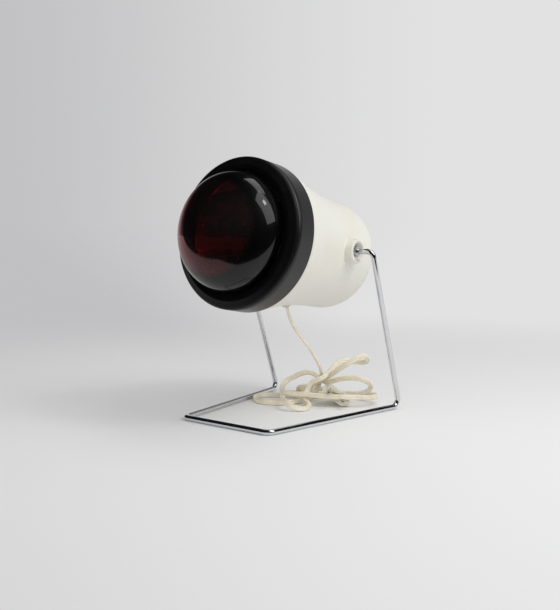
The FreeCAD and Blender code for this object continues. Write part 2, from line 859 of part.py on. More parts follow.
sleeve_inner = cap_radius + sleeve_clearance
sleeve_outer = sleeve_inner + sleeve_wall
nipple_top = holder_rear + nipple_grip
holder_corners = [
    (nipple_radius + fit, holder_rear),
    (holder_radius - 1, holder_rear),
    (holder_radius, holder_rear + 1),
    (holder_radius, holder_front - holder_nose),
    (holder_radius - holder_nose_inset, holder_front),
    (sleeve_outer + fit, holder_front),
    (sleeve_outer + fit, holder_floor),
    (zero, holder_floor),
    (zero, nipple_top + 0.5),
    (nipple_radius + fit, nipple_top + 0.5),
]
holder = turned("holder_body", holder_corners, {3: holder_nose_round})
notch_half = terminal_side / 2 + fit
for word, side in SIDES:
    notch_corners = [
        (-notch_half, side * (terminal_place - notch_half)),
        (notch_half, side * (terminal_place - notch_half)),
        (notch_half, side * (holder_radius + 2)),
        (-notch_half, side * (holder_radius + 2)),
    ]
    notch = outline(holder, "notch_outline_" + word, "XY_Plane", notch_corners,
                    offset=level(holder_rear - 1))
    extrude(holder, "Pocket", "notch_" + word, notch, terminal_height + 1, True)
head(holder)

sleeve_corners = [
    (sleeve_inner, cap_rear),
    (sleeve_outer, cap_rear - 1),
    (sleeve_outer, holder_front - 1.5),
    (sleeve_inner, holder_front - 1.5),
]
head(turned("holder_sleeve", sleeve_corners))

tongue = tongue_thickness
tongue_top = contact_tip
tongue_corners = [
    (-(sleeve_inner - 2), holder_floor),
    (-(tongue_flat_half + tongue_slant), holder_floor),
    (-tongue_flat_half, tongue_top - tongue),
    (tongue_flat_half, tongue_top - tongue),
    (tongue_flat_half, tongue_top),
    (-tongue_flat_half - tongue * 0.7, tongue_top),
    (-(tongue_flat_half + tongue_slant) - tongue * 0.7, holder_floor + tongue),
    (-(sleeve_inner - 2), holder_floor + tongue),
]
holder_contact = new_body("holder_contact")
tongue_sketch = outline(holder_contact, "tongue_outline", "YZ_Plane", tongue_corners)
tongue_pad = extrude(holder_contact, "Pad", "tongue", tongue_sketch, tongue_width)
tongue_pad.Midplane = True
head(holder_contact)


def terminal(name, side):
    """Brass terminal block in its notch; the wire's end meets its rear face."""
    half = plain(terminal_side) / 2
    corner = Vector(-half, side * plain(terminal_place) - half, plain(holder_rear))
    return primitive("Box", name, head_place.multiply(Placement(corner, Rotation())),
                     Length=terminal_side, Width=terminal_side, Height=terminal_height)


both_sides("holder_terminals", terminal)


def terminal_screw(name, side):
    """Slotted cheese-head screw on the outer face of a terminal."""
    face = side * plain(terminal_place + terminal_side / 2)
    spot = Vector(0, face, plain(holder_rear + terminal_height / 2))
    place = head_place.multiply(Placement(spot, Rotation(Vector(1, 0, 0), -90 * side)))
    blank = primitive("Cylinder", name + "_head", place, Radius=terminal_screw_radius,
                      Height=terminal_screw_height)
    corner = Vector(-plain(terminal_screw_radius) - 0.5, -plain(screw_slot_width) / 2,
                    plain(terminal_screw_height - screw_slot_depth))
    slot_place = place.multiply(Placement(corner, Rotation()))
    driver = primitive("Box", name + "_slot", slot_place, Length=terminal_screw_radius * 2 + 1,
                       Width=screw_slot_width, Height=screw_slot_depth * 2)
    return cut(name, blank, driver)


both_sides("holder_terminal_screws", terminal_screw)

strap = new_body("holder_strap")
strap_corners = [
    (-strap_half, -strap_width / 2),
    (strap_half, -strap_width / 2),
    (strap_half, strap_width / 2),
    (-strap_half, strap_width / 2),
]
strap_sketch = outline(strap, "strap_outline", "XY_Plane", strap_corners,
                       offset=level(strap_rear))
extrude(strap, "Pad", "strap_plate", strap_sketch, strap_thickness)
strap_holes = circles(strap, "strap_holes", "XY_Plane",
                      [(zero, zero, nipple_radius + fit),
                       (pillar_middle, zero, strap_screw_radius + fit),
                       (-pillar_middle, zero, strap_screw_radius + fit)], level(holder_rear))
extrude(strap, "Pocket", "strap_drilling", strap_holes, strap_thickness * 2)
head(strap)


def strap_screw(name, side):
    """Screw through the strap into its pillar, with a domed head."""
    spot = Vector(side * plain(pillar_middle), 0, plain(holder_rear))
    place = head_place.multiply(Placement(spot, Rotation()))
    shank_place = place.multiply(Placement(Vector(0, 0, -plain(strap_screw_depth)), Rotation()))
    shank = primitive("Cylinder", name + "_shank", shank_place, Radius=strap_screw_radius,
                      Height=strap_screw_depth)
    dome = primitive("Cone", name + "_head", place, Radius1=strap_screw_radius * 1.9,
                     Radius2=strap_screw_radius * 1.3, Height=strap_screw_head)
    whole = doc.addObject("Part::Fuse", name)
    whole.Base = shank
    whole.Tool = dome
    return whole


both_sides("holder_strap_screws", strap_screw)

nut_seat = strap_rear - nipple_nut_height
nipple_corners = [
    (nipple_bore, nut_seat - nipple_tail),
    (nipple_radius, nut_seat - nipple_tail),
    (nipple_radius, nipple_top),
    (nipple_bore, nipple_top),
]
head(turned("holder_nipple", nipple_corners))
nut_place = head_place.multiply(Placement(Vector(0, 0, plain(nut_seat)), Rotation()))
node(ring_of("holder_nut", nut_place, nipple_nut_flats / math.sqrt(3), nipple_radius + 0.01,
             nipple_nut_height, True))


# ---------------------------------------------------------------- gland, cord stop and leads

# The gland leans back from the wall's own normal, so its pieces share a tilted placement whose
# Z points out of the lamp along the flex.
mouth = Vector(0, -plain(exit_wall), plain(exit_place))
gland_turn = Rotation(Vector(1, 0, 0), 90 + plain(exit_lean))
gland_place = head_place.multiply(Placement(mouth, gland_turn))
flex_radius = flex_width / 2
inner_face = -(wall + 4.4)
gland_corners = [
    (flex_radius + 0.02, gland_proud),
    (gland_radius, gland_proud),
    (gland_radius, inner_face),
    (gland_flange, inner_face),
    (gland_flange, inner_face - gland_flange_height),
    (flex_radius + 0.02, inner_face - gland_flange_height),
]
gland = turned("cord_gland", gland_corners)
gland.Placement = gland_place

collar_top = inner_face - gland_flange_height
collar_corners = [
    (flex_radius + 0.02, collar_top),
    (collar_radius, collar_top),
    (collar_radius, collar_top - collar_height),
    (flex_radius + 0.02, collar_top - collar_height),
]
collar = turned("cord_stop", collar_corners)
collar_screw_place = gland_place.multiply(Placement(
    Vector(0, 0, plain(collar_top - collar_height / 2)), Rotation(Vector(0, 1, 0), 90)))
collar.Placement = gland_place
screw_blank = primitive("Cylinder", "cord_stop_screw_blank", collar_screw_place,
                        Radius=collar_screw_radius, Height=collar_radius + collar_screw_proud)
screw_inside = primitive("Cylinder", "cord_stop_screw_inside", collar_screw_place,
                         Radius=collar_screw_radius + 0.5, Height=collar_radius)
node(cut("cord_stop_screw", screw_blank, screw_inside))

tail = primitive("Cylinder", "cord_tail", gland_place.multiply(
    Placement(Vector(0, 0, plain(gland_proud) - plain(tail_length)), Rotation())),
    Radius=flex_radius, Height=tail_length)
node(tail)

tail_end = Placement(mouth, gland_turn).multVec(
    Vector(0, 0, plain(gland_proud) - plain(tail_length)))
inward = gland_turn.multVec(Vector(0, 0, -1))


def lead_path(side, terminal_y):
    """Lead from the flex's end, back past the lampholder and into a terminal from behind."""
    across = Vector(side * plain(lead_pitch) / 2, 0, 0)
    behind = plain(nut_seat - nipple_tail) - 5
    start = tail_end + across
    rise = start + inward * 9
    side_y = -plain(holder_radius) - 7
    return [
        start,
        rise,
        Vector(across.x, side_y, rise.z - 10),
        Vector(across.x, side_y, behind),
        Vector(across.x, terminal_y, behind),
        Vector(across.x, terminal_y, plain(holder_rear)),
    ]


lead_bends = [plain(lead_bend)] * 4
for name, side, place in [("lead_live", 1, -plain(terminal_place)),
                          ("lead_neutral", -1, plain(terminal_place))]:
    head(shaped(name, rod(lead_path(side, place), lead_bends, lead_diameter)))


# ---------------------------------------------------------------- plug

# Drawn with its pins along +Z and its long side along X. It lies on its edge in the hank.
plug_point = Vector(29.6, pivot_line + 23.6, 13.2)
plug_aim = Vector(0.563, -0.822, 0.087)
plug_roll = -32.5
level_side = Vector(0, 0, 1).cross(plug_aim).normalize()
plug_turn = Rotation(level_side, Vector(), plug_aim, "ZXY")
plug_place = Placement(plug_point, plug_turn.multiply(Rotation(Vector(0, 0, 1), plug_roll)))


def plug_section(body, name, width, thickness, end_width, depth):
    """Long hexagon across the plug at a depth behind its face."""
    half = width / 2
    tall = thickness / 2
    end = end_width / 2
    shoulder = half - (tall - end) * 1.5
    corners = [(half, -end), (half, end), (shoulder, tall), (-shoulder, tall),
               (-half, end), (-half, -end), (-shoulder, -tall), (shoulder, -tall)]
    return outline(body, name, "XY_Plane", corners, offset=level(-depth))


plug = new_body("plug_body")
face_section = plug_section(plug, "plug_face", plug_width, plug_thickness, plug_end_width, zero)
middle_section = plug_section(plug, "plug_middle", plug_width - 1.5, plug_thickness,
                              plug_end_width, plug_straight)
neck_section = plug_section(plug, "plug_neck_end", plug_neck, plug_neck, plug_neck - 3,
                            plug_length)
loft_parts = [("plug_front_half", face_section, middle_section),
              ("plug_rear_half", middle_section, neck_section)]
for name, near, far in loft_parts:
    loft = plug.newObject("PartDesign::AdditiveLoft", name)
    loft.Profile = (near, [""])
    loft.Sections = [(far, [""])]
    loft.Ruled = True
pin_sockets = circles(plug, "pin_sockets", "XY_Plane",
                      [(pin_pitch / 2, zero, pin_core), (-pin_pitch / 2, zero, pin_core)])
extrude(plug, "Pocket", "pin_sockets_cut", pin_sockets, pin_seat)
plug.Placement = plug_place


def plug_pin(name, side):
    """Round pin with a bevelled tip; its thinner core is moulded into the plug."""
    pin_body = doc.addObject("PartDesign::Body", name)
    corners = [(zero, -pin_seat), (pin_core, -pin_seat), (pin_core, zero), (pin_radius, zero),
               (pin_radius, pin_length - pin_tip), (pin_radius - pin_tip / 2, pin_length),
               (zero, pin_length)]
    pin_sketch = outline(pin_body, name + "_outline", "XZ_Plane", corners)
    revolve(pin_body, "Revolution", name + "_turn", pin_sketch)
    pin_body.Placement = plug_place.multiply(
        Placement(Vector(side * plain(pin_pitch) / 2, 0, 0), Rotation()))
    return pin_body


plug_pins = both_sides("plug_pins", plug_pin)


# ---------------------------------------------------------------- flex outside the lamp

# The stretch that hangs from the gland into the hank. It leaves along the gland's own axis.
# Its route is given as x, y from the pivot line, and z.
tail_gap = 0.05
drop_start = gland_place.multVec(Vector(0, 0, plain(gland_proud) + tail_gap))
drop_straight = gland_place.multVec(Vector(0, 0, 12.5))
drop_route = [
    (2.3, -20.5, 92.3),
    (5.8, -8.6, 79.1),
    (7.7, 4.1, 65.8),
    (8.6, 17.7, 49.3),
    (4.0, 29.9, 39.2),
    (-2.1, 39.2, 31.5),
    (-6.5, 43.5, 22.5),
]
drop_points = [drop_start, drop_straight]
drop_points += [Vector(x, pivot_line + y, z) for x, y, z in drop_route]
drop_bends = []
for before, corner, after in zip(drop_points, drop_points[1:], drop_points[2:]):
    turn = (corner - before).getAngle(after - corner)
    shorter = min((corner - before).Length, (after - corner).Length)
    drop_bends.append(0.45 * shorter / math.tan(turn / 2))
drop_shape = rod(drop_points, drop_bends, flex_width)
shaped("cord_drop", drop_shape)
drop_run = sum((b - a).Length for a, b in zip(drop_points, drop_points[1:]))
drop_section = math.pi * plain(flex_radius) ** 2
print("cord_drop points", [tuple(round(v, 2) for v in point) for point in drop_points])
print("cord_drop radii", ["%.1f" % bend for bend in drop_bends])
print("cord_drop volume %.1f, section x runs %.1f" % (drop_shape.Volume, drop_section * drop_run))


def level_wire(corners, height):
    """Closed outline at a height above the floor."""
    points = [Vector(x, pivot_line + y, height) for x, y in corners]
    return Part.makePolygon(points + points[:1])


# The hank in three storeys: the loops on the floor, the tied heap and the loop that stands up.
# Each storey runs from a lower to an upper outline of x and y from the pivot line.
floor_loops = [(-75, 8), (-68, -12), (-46, -23), (-29, -17), (-10, -29), (2, -34), (15, -30),
               (20, -15), (11, 4), (19, 22), (41, 38), (60, 55), (61, 66), (50, 79),
               (20, 78), (-34, 66), (-44, 42), (-68, 26)]
floor_loops_top = [(-72, 8), (-66, -9), (-46, -19), (-28, -13), (-9, -26), (2, -31), (13, -27),
                   (17, -14), (8, 5), (16, 24), (38, 40), (57, 56), (58, 65), (48, 76),
                   (20, 75), (-31, 63), (-41, 40), (-65, 24)]
heap_foot = [(-46, 16), (-30, 1), (-10, 6), (1, 12), (13, 20), (20, 27), (38, 41),
             (52, 56), (50, 72), (30, 73), (-5, 66), (-38, 62), (-45, 42)]
heap_top = [(-40, 26), (-30, 22), (-10, 18), (0, 18), (9, 22), (17, 30), (34, 46),
            (46, 58), (44, 68), (28, 67), (-5, 55), (-26, 47), (-36, 38)]
loop_foot = [(0, 26), (14, 28), (20, 40), (12, 54), (0, 46)]
loop_top = [(40, 36), (51, 42), (51, 56), (40, 66), (26, 62)]
storeys = [(floor_loops, 0.2, floor_loops_top, 8.0),
           (heap_foot, 7.0, heap_top, 31.0),
           (loop_foot, 28.0, loop_top, 57.0)]
lofts = [Part.makeLoft([level_wire(low, start), level_wire(high, end)], True, True)
         for low, start, high, end in storeys]
doc.recompute()
hank = lofts[0].multiFuse(lofts[1:])
hank = hank.cut([plug.Shape, plug_pins.Shape]).removeSplitter()
if len(hank.Solids) != 1:
    raise RuntimeError("the hank fell into %d solids" % len(hank.Solids))
shaped("cord_hank", hank.Solids[0])


# ---------------------------------------------------------------- check and write

doc.recompute()
for thing in doc.Objects:
    states = getattr(thing, "State", [])
    if "Invalid" in states or "Error" in states:
        raise RuntimeError("%s failed: %s" % (thing.Name, states))
for piece in nodes:
    shape = piece.Shape
    if shape.isNull() or not shape.isValid() or not shape.Solids:
        raise RuntimeError("%s has no valid solid" % piece.Label)
    shape.exportStep("parts/%s.step" % piece.Label)
print(len(nodes), "nodes; pivot line at y = %.3f" % pivot_line)
for side in (1, -1):
    seat = plug_place.multVec(Vector(side * plain(pin_pitch) / 2, 0, 0))
    print("pin seat", tuple(round(value, 4) for value in seat), "along",
          tuple(round(value, 5) for value in plug_place.Rotation.multVec(Vector(0, 0, 1))))
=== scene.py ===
import math

import bmesh
import bpy
from mathutils import Matrix, Vector


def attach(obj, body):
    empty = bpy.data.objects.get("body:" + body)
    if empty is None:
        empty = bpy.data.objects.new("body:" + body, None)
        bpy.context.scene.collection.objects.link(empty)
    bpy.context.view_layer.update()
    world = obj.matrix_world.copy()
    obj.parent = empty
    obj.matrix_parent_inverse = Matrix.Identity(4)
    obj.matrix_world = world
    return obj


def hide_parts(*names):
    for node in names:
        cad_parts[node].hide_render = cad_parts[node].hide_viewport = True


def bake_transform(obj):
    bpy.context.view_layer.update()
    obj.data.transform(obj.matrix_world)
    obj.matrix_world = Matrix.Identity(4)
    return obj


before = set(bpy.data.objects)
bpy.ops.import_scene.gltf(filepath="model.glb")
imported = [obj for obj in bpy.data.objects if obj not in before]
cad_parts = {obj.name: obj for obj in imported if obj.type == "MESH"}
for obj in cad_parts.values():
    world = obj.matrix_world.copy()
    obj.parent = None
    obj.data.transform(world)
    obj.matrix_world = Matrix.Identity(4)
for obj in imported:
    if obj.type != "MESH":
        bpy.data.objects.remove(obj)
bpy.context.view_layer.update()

# ---- Camera: a still camera on a low tripod, about a metre off and a little above the
# pivots, looking down by five degrees at the lamp's front and right side.
lens_place = (0.60467, -0.7767, 0.21095)
lens_turn, lens_dip, lens_lean = 37.84, 5.24, 0.34
film_height, focal_length, sight_end = 36, 53.26, 200
turned = Matrix.Rotation(math.radians(lens_turn), 3, "Z")
tipped = Matrix.Rotation(math.radians(90 - lens_dip), 3, "X")
leaned = Matrix.Rotation(math.radians(lens_lean), 3, "Z")
lens = bpy.data.cameras.new("camera")
lens.sensor_fit = "VERTICAL"
lens.sensor_height = film_height
lens.lens = focal_length
lens.clip_end = sight_end
camera = bpy.data.objects.new("camera", lens)
camera.matrix_world = Matrix.Translation(lens_place) @ (turned @ tipped @ leaned).to_4x4()
bpy.context.collection.objects.link(camera)
bpy.context.scene.camera = camera
bpy.context.scene.view_settings.view_transform = "Standard"

# ---- Table and room: a table under pale paper, which runs back into a pale wall without an
# edge. Chrome and glass also mirror the table's near edges and the dark room before them.
to_right = (0.789, 0.614, 0.0)
to_wall = (-0.614, 0.789, 0.0)
to_near = (0.614, -0.789, 0.0)
paper_radius = 60
fade_start, fade_end = 0.25, 1.2  # how far out the lit paper passes into the even wall
near_edge = (0.26, 0.30)  # where the table ends on the near side, as chrome mirrors it
front_edge = (-0.43, -0.38)  # and where it ends in front of the lamp
wall_turn = (-0.36, 0.22)  # the painted shade on the wall, from darker on the left to lighter
pale_turn = (0.22, 0.8)  # the mirrored room's change from dark to pale
dark_above, pale_sideways = 0.9, 0.4
light_turn = (-0.6, 0.9)  # the change of the room's own light from the wall's side
light_from_wall = (0.27, 0.27, 0.275, 1)
light_from_near = (0.82, 0.82, 0.825, 1)


class Term:
    """A socket in a material or in the room, so that sums on it are written as sums."""

    def __init__(self, socket):
        self.socket = socket

    def sum(self, operation, first, second):
        node = self.socket.id_data.nodes.new("ShaderNodeMath")
        node.operation = operation
        feed(node.inputs[0], first)
        feed(node.inputs[1], second)
        return Term(node.outputs[0])

    def __add__(self, other):
        return self.sum("ADD", self, other)

    def __radd__(self, other):
        return self.sum("ADD", other, self)

    def __sub__(self, other):
        return self.sum("SUBTRACT", self, other)

    def __rsub__(self, other):
        return self.sum("SUBTRACT", other, self)

    def __mul__(self, other):
        return self.sum("MULTIPLY", self, other)

    def __rmul__(self, other):
        return self.sum("MULTIPLY", other, self)


def feed(socket, value):
    """A socket takes a link from a term, or a plain value."""
    if isinstance(value, Term):
        socket.id_data.links.new(value.socket, socket)
    else:
        socket.default_value = value


def shade(red, green, blue):
    """A colour as a screen shows it, 0 to 255, as the renderer wants it."""
    parts = []
    for part in (red, green, blue):
        part = part / 255
        parts.append(part / 12.92 if part <= 0.04045 else ((part + 0.055) / 1.055) ** 2.4)
    return (*parts, 1.0)


class Finish:
    """A material, or the room's light, put together node by node."""

    def __init__(self, name, owner=None):
        self.owner = owner or bpy.data.materials.new(name)
        self.owner.use_nodes = True
        self.tree = self.owner.node_tree
        self.tree.nodes.clear()

    def node(self, kind, settings=None, sockets=None, out=0):
        """A new node of that kind; sockets are given by their name or number."""
        node = self.tree.nodes.new("ShaderNode" + kind)
        for setting, value in (settings or {}).items():
            setattr(node, setting, value)
        for name, value in (sockets or {}).items():
            if isinstance(name, int):
                feed(node.inputs[name], value)
            else:
                feed(next(s for s in node.inputs if s.enabled and s.name == name), value)
        return Term([s for s in node.outputs if s.enabled][out])

    def place(self):
        """Where a point of the surface is on the piece."""
        return self.node("TexCoord", out=3)

    def dot(self, vector, direction):
        """How far a vector goes along a direction."""
        return self.node("VectorMath", {"operation": "DOT_PRODUCT"}, {0: vector, 1: direction})

    def length(self, vector):
        """How long a vector is."""
        return self.node("VectorMath", {"operation": "LENGTH"}, {0: vector})

    def axis(self, vector, number):
        """One number of a vector: 0 for right, 1 for back, 2 for up."""
        return self.node("SeparateXYZ", sockets={0: vector}, out=number)

    def noise(self, size, detail, stretch=(1, 1, 1)):
        """Soft blotches of about that size in metres."""
        spot = self.node("Mapping", sockets={"Vector": self.place(), "Scale": stretch})
        return self.node("TexNoise", sockets={"Vector": spot, "Scale": 1 / size,
                                              "Detail": detail})

    def between(self, amount, low, high):
        """A colour between two, by an amount from 0 to 1."""
        return self.node("Mix", {"data_type": "RGBA"},
                         {"Factor": amount, "A": low, "B": high})

    def step(self, value, start, end):
        """0 before start and 1 after end, with a soft rise."""
        return self.node("MapRange", {"interpolation_type": "SMOOTHSTEP"},
                         {"Value": value, "From Min": start, "From Max": end})

    def bump(self, height, strength, distance):
        """Small hills and dales, at most that distance high in metres."""
        return self.node("Bump", sockets={"Height": height, "Strength": strength,
                                          "Distance": distance})

    def surface(self, sockets):
        """The usual glossy surface; the material, once it is shown."""
        feed(self.output(), self.node("BsdfPrincipled", sockets=sockets))
        return self.owner

    def output(self):
        """The material's last socket, which takes its surface."""
        return self.tree.nodes.new("ShaderNodeOutputMaterial").inputs["Surface"]


def wall_tone(finish, direction):
    """The pale wall's tone with painted light and shade: darker on the left of the lamp and
    lighter on the right.
    """
    rightness = finish.step(finish.dot(direction, to_right), *wall_turn)
    return finish.between(rightness, shade(192, 192, 194), shade(226, 226, 226))


sweep = bpy.data.meshes.new("sweep")
form = bmesh.new()
bmesh.ops.create_circle(form, cap_ends=True, segments=96, radius=paper_radius)
form.to_mesh(sweep)
form.free()
floor = bpy.data.objects.new("sweep", sweep)
bpy.context.collection.objects.link(floor)
paper = Finish("paper")
spot = paper.place()
direction = paper.node("VectorMath", {"operation": "NORMALIZE"}, {0: spot})
far = paper.step(paper.length(spot), fade_start, fade_end)
past_near_edge = paper.step(paper.dot(spot, to_near), *near_edge)
past_table = 1 - (1 - past_near_edge) * paper.step(paper.axis(spot, 1), *front_edge)
seen = paper.node("LightPath", out=0)
mirrored = paper.node("LightPath", out=3) + paper.node("LightPath", out=6)
lit = paper.node("BsdfDiffuse", sockets={"Color": shade(245, 245, 245)})
wall = wall_tone(paper, direction)
beyond = paper.between(past_table * mirrored, wall, shade(26, 26, 29))
plain = paper.node("Emission", sockets={"Color": beyond})
covers = far * seen + mirrored * (1 - (1 - far) * (1 - past_table))
mixed = paper.node("MixShader", sockets={0: covers, 1: lit, 2: plain})
feed(paper.output(), mixed)
sweep.materials.append(paper.owner)

room = bpy.context.scene.world or bpy.data.worlds.new("room")
bpy.context.scene.world = room
air = Finish("room", room)
direction = air.node("TexCoord", out=0)
wall = wall_tone(air, direction)
walled = air.dot(direction, to_wall)
raised = air.axis(direction, 2)
sideways = air.dot(direction, to_right)
pale = air.step(walled - dark_above * raised + pale_sideways * sideways, *pale_turn)
reflected = air.between(pale, shade(22, 22, 25), wall)
seen = air.node("LightPath", out=0)
mirrored = air.node("LightPath", out=3) + air.node("LightPath", out=6)
level = air.between(air.step(-1 * walled, *light_turn), light_from_wall, light_from_near)
even = air.between(mirrored, level, reflected)
colour = air.between(seen, even, wall)
glow = air.node("Background", sockets={"Color": colour, "Strength": 1.0})
feed(air.tree.nodes.new("ShaderNodeOutputWorld").inputs["Surface"], glow)


def softbox(name, place, aim, wide, tall, watts):
    """A soft box: a lit panel at a place, facing the point that it is aimed at."""
    lamp = bpy.data.lights.new(name, "AREA")
    lamp.shape = "RECTANGLE"
    lamp.size = wide
    lamp.size_y = tall
    lamp.energy = watts
    panel = bpy.data.objects.new(name, lamp)
    back = (Vector(place) - Vector(aim)).normalized()
    facing = back.to_track_quat("Z", "Y").to_matrix().to_4x4()
    panel.matrix_world = Matrix.Translation(place) @ facing
    panel.visible_camera = False
    bpy.context.collection.objects.link(panel)


before_bulb = (0.099, -0.275, 0.18)
bulb_front = (0.05, -0.09, 0.23)
softbox("softbox_right", (0.949, 0.095, 1.05), before_bulb, wide=0.78, tall=1.24, watts=6.4)
softbox("softbox_core", (0.73, 0.10, 1.08), bulb_front, wide=0.16, tall=0.16, watts=0.9)
softbox("softbox_top", (0.13, 0.38, 1.39), bulb_front, wide=0.75, tall=0.42, watts=1.9)


# ---- Lead: about 1.24 m of flat two-core flex in cream PVC, a figure of eight in section,
# six millimetres wide. It comes down from the gland, lies in loose loops and a wrapped
# middle between the stand's legs, and ends in its moulded plug.
lobe_radius = 0.00175
lobe_pitch = 0.0025
lobe_points = 10
flex_weld = 1e-6  # points nearer than this are joined
flex_route = [  # x, y and z in metres, and the turn of the flex about itself in degrees
    # down from the gland into the heap
    (0, 0.0138, 0.1189, 310), (0, 0.0175, 0.1078, 325), (0.0023, 0.0254, 0.0923, 330),
    (0.0058, 0.0373, 0.0791, 330), (0.0077, 0.0501, 0.0658, 325), (0.0086, 0.0636, 0.0493, 310),
    (0.004, 0.0758, 0.0392, 295), (-0.0021, 0.0852, 0.0315, 280), (-0.0071, 0.0879, 0.0207, 270),
    (-0.0103, 0.0853, 0.0107, 235), (-0.0123, 0.0789, 0.0048, 235),
    # first loop, flat on the left
    (-0.0134, 0.0698, 0.0031, 240), (-0.0149, 0.0576, 0.0034, 250), (-0.0195, 0.0439, 0.003, 255),
    (-0.0268, 0.0343, 0.0033, 255), (-0.0414, 0.0274, 0.003, 250), (-0.0545, 0.0301, 0.0026, 220),
    (-0.0658, 0.0385, 0.0035, 170), (-0.072, 0.0491, 0.0034, 130), (-0.072, 0.0589, 0.003, 110),
    (-0.066, 0.0672, 0.003, 105), (-0.0552, 0.0734, 0.0031, 100), (-0.0376, 0.082, 0.0031, 100),
    (-0.0177, 0.0936, 0.0031, 100),
    # low loop on the right, rising at its far end
    (-0.0005, 0.1054, 0.0056, 100), (0.0133, 0.1143, 0.0078, 100), (0.0264, 0.1194, 0.0077, 95),
    (0.0391, 0.1213, 0.0114, 70), (0.0464, 0.1183, 0.0174, 20), (0.0493, 0.1115, 0.0232, -40),
    (0.0469, 0.1039, 0.0284, -80), (0.0397, 0.0978, 0.031, -95), (0.0307, 0.0945, 0.0309, -100),
    (0.0194, 0.0925, 0.0288, -95), (0.0049, 0.0899, 0.0231, -100),
    # raised loop on the left
    (-0.0039, 0.0917, 0.0233, -110), (-0.0112, 0.0924, 0.0281, -110),
    (-0.0209, 0.0884, 0.0332, -100), (-0.0293, 0.0832, 0.0317, -100),
    (-0.0379, 0.076, 0.0261, -105), (-0.0424, 0.0691, 0.0223, -125),
    (-0.0423, 0.0622, 0.0175, -160), (-0.0382, 0.0549, 0.0148, -190),
    (-0.0302, 0.0493, 0.0127, -225),
    # long strand in front, through between the pins
    (-0.0185, 0.0489, 0.0128, -245), (0.0044, 0.0558, 0.0129, -255),
    (0.0231, 0.0603, 0.0125, -260), (0.0429, 0.0734, 0.0126, -260), (0.057, 0.0932, 0.0107, -260),
    (0.0594, 0.1119, 0.0093, -265),
    # back along the table behind the heap
    (0.0495, 0.1231, 0.0089, -275), (0.0319, 0.1251, 0.0068, -280),
    (0.0136, 0.1218, 0.0055, -280), (-0.0033, 0.115, 0.0042, -280),
    (-0.0192, 0.1052, 0.0034, -280), (-0.0337, 0.0928, 0.0044, -280),
    # small loop in front, turned under the long strand
    (-0.0428, 0.0787, 0.0071, -285), (-0.0407, 0.0624, 0.0074, -300),
    (-0.0265, 0.041, 0.0103, -345), (-0.0094, 0.02, 0.0116, -400), (0.001, 0.0156, 0.008, -415),
    (0.0097, 0.0184, 0.0043, -430), (0.0148, 0.0252, 0.003, -430), (0.0155, 0.0334, 0.0027, -415),
    (0.0121, 0.0413, 0.0039, -390), (0.0059, 0.0482, 0.0053, -365),
    (-0.0007, 0.0525, 0.0061, -360),
    # up and round the middle of the heap
    (-0.0052, 0.0572, 0.0099, -370), (-0.0066, 0.0615, 0.0157, -395),
    (-0.005, 0.0645, 0.0218, -435), (-0.0007, 0.0667, 0.0267, -445),
    (0.0063, 0.0703, 0.0298, -435), (0.0108, 0.0776, 0.0344, -420),
    (0.0096, 0.0869, 0.0379, -410),
    # doubled end that stands up on the right
    (0.0105, 0.0962, 0.044, -425), (0.0135, 0.1017, 0.0475, -435), (0.018, 0.1067, 0.0482, -440),
    (0.0268, 0.1135, 0.047, -445), (0.0409, 0.1135, 0.0473, -480), (0.0496, 0.1056, 0.0533, -565),
    (0.05, 0.0954, 0.0587, -620), (0.0483, 0.0859, 0.0579, -640), (0.0443, 0.0792, 0.0531, -635),
    (0.0354, 0.0753, 0.0471, -620), (0.0223, 0.0776, 0.0392, -610), (0.0055, 0.0836, 0.029, -615),
    # out on the left and round into the plug
    (-0.0071, 0.0815, 0.0226, -625), (-0.0124, 0.0791, 0.0187, -630),
    (-0.0185, 0.0781, 0.0171, -620), (-0.0279, 0.0789, 0.0161, -595),
    (-0.0359, 0.0838, 0.011, -540), (-0.0395, 0.0937, 0.0083, -480),
    (-0.036, 0.1045, 0.0077, -450), (-0.0253, 0.1114, 0.0087, -440),
    (-0.0122, 0.1127, 0.01, -435), (-0.0002, 0.1083, 0.0107, -430),
    (0.0093, 0.0992, 0.0101, -420),
]


def flex_core(name, points):
    """The flex's middle line, a smooth one that the points draw towards themselves."""
    line = bpy.data.curves.new(name, "CURVE")
    line.dimensions = "3D"
    line.twist_mode = "Z_UP"
    line.resolution_u = 8
    spline = line.splines.new("NURBS")
    spline.points.add(len(points) - 1)
    for point, (x, y, z, turn) in zip(spline.points, points):
        point.co = (x, y, z, 1)
        point.tilt = -math.radians(turn)
    spline.order_u = 3
    spline.use_endpoint_u = True
    return line


def mesh_of(line):
    """The mesh that Blender makes of a line."""
    carrier = bpy.data.objects.new("carrier", line)
    bpy.context.collection.objects.link(carrier)
    mesh = bpy.data.meshes.new_from_object(carrier.evaluated_get(
        bpy.context.evaluated_depsgraph_get()))
    bpy.data.objects.remove(carrier)
    return mesh


flex_line = flex_core("flex_line", flex_route)
flex_path = [vertex.co.copy() for vertex in mesh_of(flex_line).vertices]
eight = bpy.data.curves.new("eight", "CURVE")
eight.dimensions = "2D"
lobes = eight.splines.new("POLY")
lobes.points.add(2 * lobe_points - 1)
waist = math.acos(-lobe_pitch / 2 / lobe_radius)
for number, point in enumerate(lobes.points):
    side = 1 if number < lobe_points else -1
    angle = waist - 2 * waist * (number % lobe_points) / lobe_points
    point.co = (side * (lobe_pitch / 2 + lobe_radius * math.cos(angle)),
                side * lobe_radius * math.sin(angle), 0, 1)
lobes.use_cyclic_u = True
section = bpy.data.objects.new("section", eight)
bpy.context.collection.objects.link(section)
flex_line.bevel_mode = "OBJECT"
flex_line.bevel_object = section
flex_line.use_fill_caps = True
flex_mesh = mesh_of(flex_line)
bpy.data.objects.remove(section)
bpy.data.curves.remove(flex_line)
form = bmesh.new()
form.from_mesh(flex_mesh)
bmesh.ops.remove_doubles(form, verts=form.verts, dist=flex_weld)
bmesh.ops.recalc_face_normals(form, faces=form.faces)
form.to_mesh(flex_mesh)
